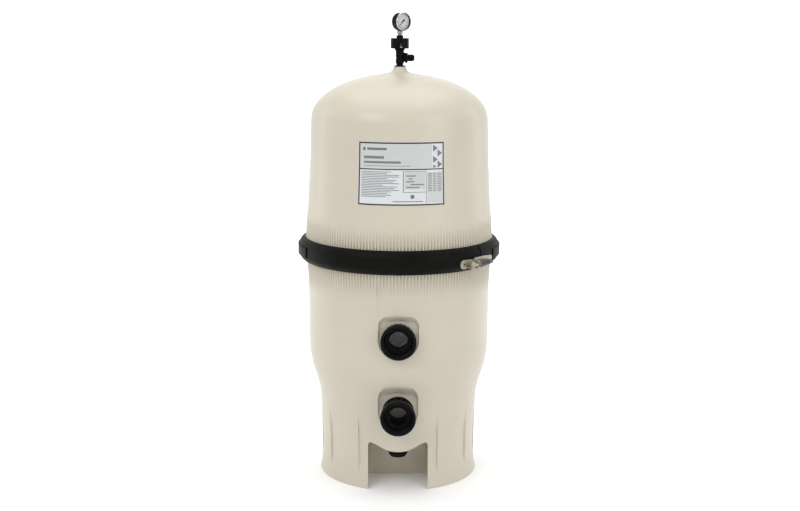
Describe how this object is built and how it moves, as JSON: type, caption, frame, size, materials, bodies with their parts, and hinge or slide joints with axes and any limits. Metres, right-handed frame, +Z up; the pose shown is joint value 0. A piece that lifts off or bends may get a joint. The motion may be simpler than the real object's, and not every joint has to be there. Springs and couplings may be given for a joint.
{
  "type": "pool filter tank",
  "caption": "Upright two-piece moulded pool filter tank with hinged clamp band, spring latch, front union ports, drain plug, air relief valve and pressure gauge.",
  "frame": {"origin": "on the tank axis at floor level, under the middle of the foot ring", "axes": "+Z up along the tank axis; the two ports face -Y; +X is to the right of someone facing the ports"},
  "size_m": [0.551, 0.551, 1.2571],
  "materials": {
    "shell": "satin",
    "band": "semi-gloss",
    "stainless": "satin",
    "spring": "satin",
    "brass": "satin",
    "black": "satin",
    "rubber": "matt",
    "white": "satin",
    "fabric": "woven",
    "chrome": "polished",
    "glass": "clear",
    "label": "satin"
  },
  "bodies": {
    "tank": {"tank_bottom": "shell", "tank_lid": "shell", "tank_seal": "rubber", "tank_label": "label", "clamp_front": "band", "clamp_rear": "band", "clamp_hinge_pin": "stainless", "latch_bracket": "stainless", "saddle_bracket": "stainless", "lower_gasket": "rubber", "lower_bulkhead": "black", "lower_bulkhead_nut": "black", "lower_union_nut": "black", "lower_seat_ring": "black", "upper_gasket": "rubber", "upper_bulkhead": "black", "upper_bulkhead_nut": "black", "upper_union_nut": "black", "upper_seat_ring": "black", "inlet_diffuser": "white", "outlet_elbow": "white", "outlet_pipe": "white", "grid_manifold": "white", "grid_1": "fabric", "grid_2": "fabric", "grid_3": "fabric", "grid_4": "fabric", "grid_5": "fabric", "grid_6": "fabric", "grid_7": "fabric", "grid_partial": "fabric", "grid_spacer": "white", "tie_rod": "stainless", "tie_rod_nut": "stainless", "air_bleed_screen": "white", "drain_seal": "rubber", "valve_body": "black", "neck_seal": "rubber", "gauge_post": "brass", "gauge_case": "black", "gauge_bezel": "chrome", "gauge_lens": "glass", "gauge_dial": "label", "gauge_socket": "brass", "bourdon_tube": "brass"},
    "clamp_bolt_set": {"clamp_bolt": "stainless", "clamp_spring": "spring", "spring_washer": "stainless", "nut_washer": "stainless"},
    "clamp_nut": {"clamp_nut": "brass"},
    "relief_poppet": {"relief_poppet": "white"},
    "relief_knob": {"relief_knob": "black"},
    "outlet_cap": {"outlet_cap": "black"},
    "drain_plug": {"drain_plug": "black"},
    "gauge_needle": {"gauge_needle": "black", "needle_pinion": "brass"},
    "sector_gear": {"sector_gear": "brass"}
  },
  "joints": [
    {"name": "clamp_bolt_swing", "type": "hinge", "parent": "tank", "child": "clamp_bolt_set", "pos_m": [0.19112, -0.21911, 0.614], "axis": [0, 0, -1], "range_deg": [0, 80]},
    {"name": "clamp_nut_turn", "type": "hinge", "parent": "clamp_bolt_set", "child": "clamp_nut", "pos_m": [0.24037, -0.15607, 0.614], "axis": [0.6157, 0.788, 0], "range_deg": [0, 720]},
    {"name": "relief_knob_turn", "type": "hinge", "parent": "relief_poppet", "child": "relief_knob", "pos_m": [0, 0, 1.175], "axis": [0, 0, 1], "range_deg": [0, 360]},
    {"name": "relief_poppet_rise", "type": "slide", "parent": "tank", "child": "relief_poppet", "axis": [0, 0, 1], "range_m": [0, 0.0015]},
    {"name": "outlet_cap_unscrew", "type": "slide", "parent": "tank", "child": "outlet_cap", "axis": [1, 0, 0], "range_m": [0, 0.014]},
    {"name": "drain_plug_unscrew", "type": "slide", "parent": "tank", "child": "drain_plug", "axis": [0, 0, -1], "range_m": [0, 0.03]},
    {"name": "gauge_needle_turn", "type": "hinge", "parent": "tank", "child": "gauge_needle", "pos_m": [0, 0, 1.2321], "axis": [-0.6293, 0.7771, 0], "range_deg": [0, 270]},
    {"name": "sector_gear_turn", "type": "hinge", "parent": "tank", "child": "sector_gear", "pos_m": [-0.00808, -0.00654, 1.2321], "axis": [-0.6293, 0.7771, 0], "range_deg": [-65.8, 0]}
  ],
  "couplings": [
    {"joint": "relief_poppet_rise", "follows": "relief_knob_turn", "m_per_rad": 0.00023873},
    {"joint": "gauge_needle_turn", "follows": "sector_gear_turn", "ratio": -4.1}
  ]
}
